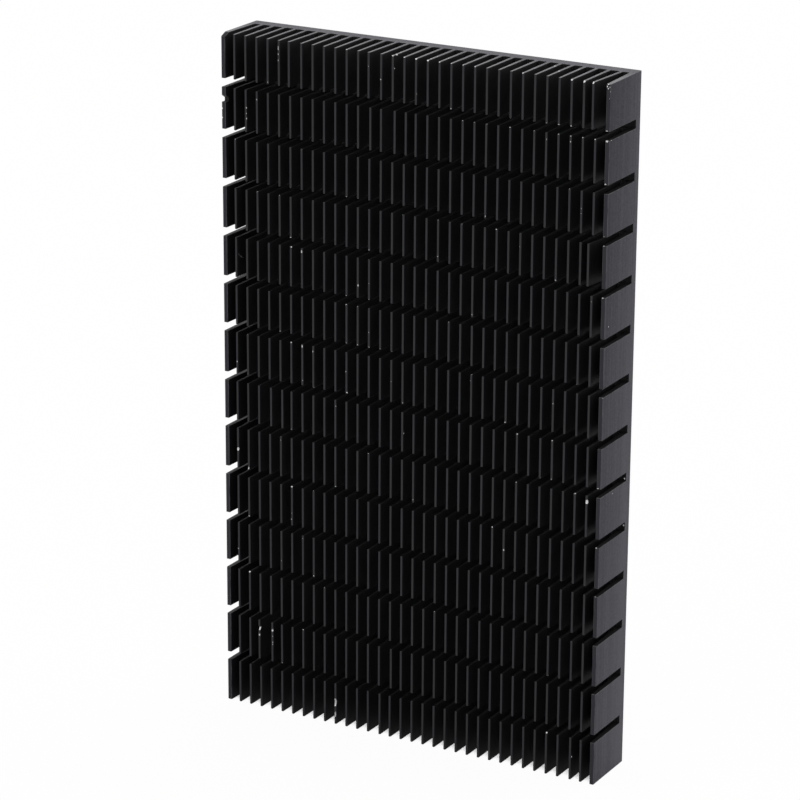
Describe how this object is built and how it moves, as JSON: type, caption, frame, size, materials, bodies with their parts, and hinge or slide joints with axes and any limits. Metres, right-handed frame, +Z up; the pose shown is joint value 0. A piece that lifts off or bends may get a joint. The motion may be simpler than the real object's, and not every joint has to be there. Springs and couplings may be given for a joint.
{
  "type": "heat sink",
  "caption": "Flat aluminium heat sink: a thin base plate with dense tapered fins, cross-cut into rows of blades for airflow both ways, black anodised.",
  "frame": {"origin": "centre of the part's footprint on the surface it stands on, at the lower sawn end", "axes": "+X across the fins to the right as seen from the fin side, +Y out of the flat back face, +Z up along the fins"},
  "size_m": [0.09, 0.014, 0.15],
  "materials": {
    "black_anodised": "black anodised, satin, bare bright metal at chipped fin edges"
  },
  "bodies": {
    "root": {"finned_extrusion": "black_anodised"}
  },
  "joints": []
}
